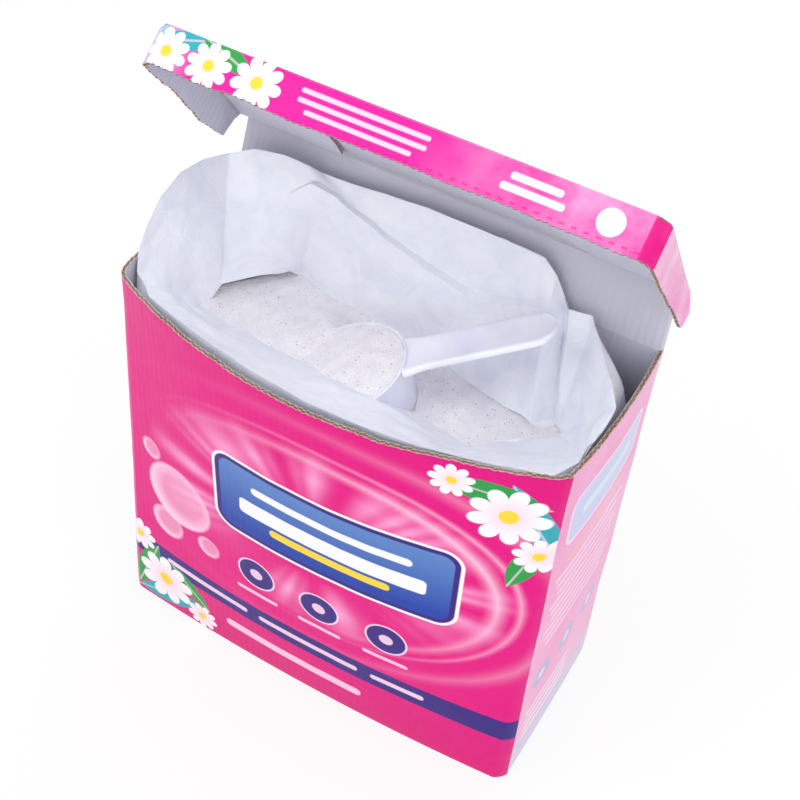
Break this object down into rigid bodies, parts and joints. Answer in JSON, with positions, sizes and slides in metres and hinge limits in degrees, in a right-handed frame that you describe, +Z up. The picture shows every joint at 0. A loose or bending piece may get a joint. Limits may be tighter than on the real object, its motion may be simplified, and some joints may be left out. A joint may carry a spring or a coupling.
{
  "type": "washing powder box",
  "caption": "Folded carton of washing powder with a hinged torn-open lid, a film liner bag, the powder and a loose scoop.",
  "frame": {"origin": "middle of the base, on the surface that the box stands on", "axes": "+Z up, the printed front faces -Y, +X to the right seen from the front"},
  "size_m": [0.1906, 0.1068, 0.2698],
  "materials": {
    "printed_board": "gloss",
    "white_film": "matte",
    "white_powder": "matte",
    "scoop_plastic": "satin"
  },
  "bodies": {
    "box": {"carton_body": "printed_board", "film_bag": "white_film", "washing_powder": "white_powder", "scoop": "scoop_plastic"},
    "lid": {"lid": "printed_board"}
  },
  "joints": [
    {"name": "lid_fold", "type": "hinge", "parent": "box", "child": "lid", "pos_m": [0, 0.0458, 0.2085], "axis": [-1, 0, 0], "range_deg": [-50, 130]}
  ]
}
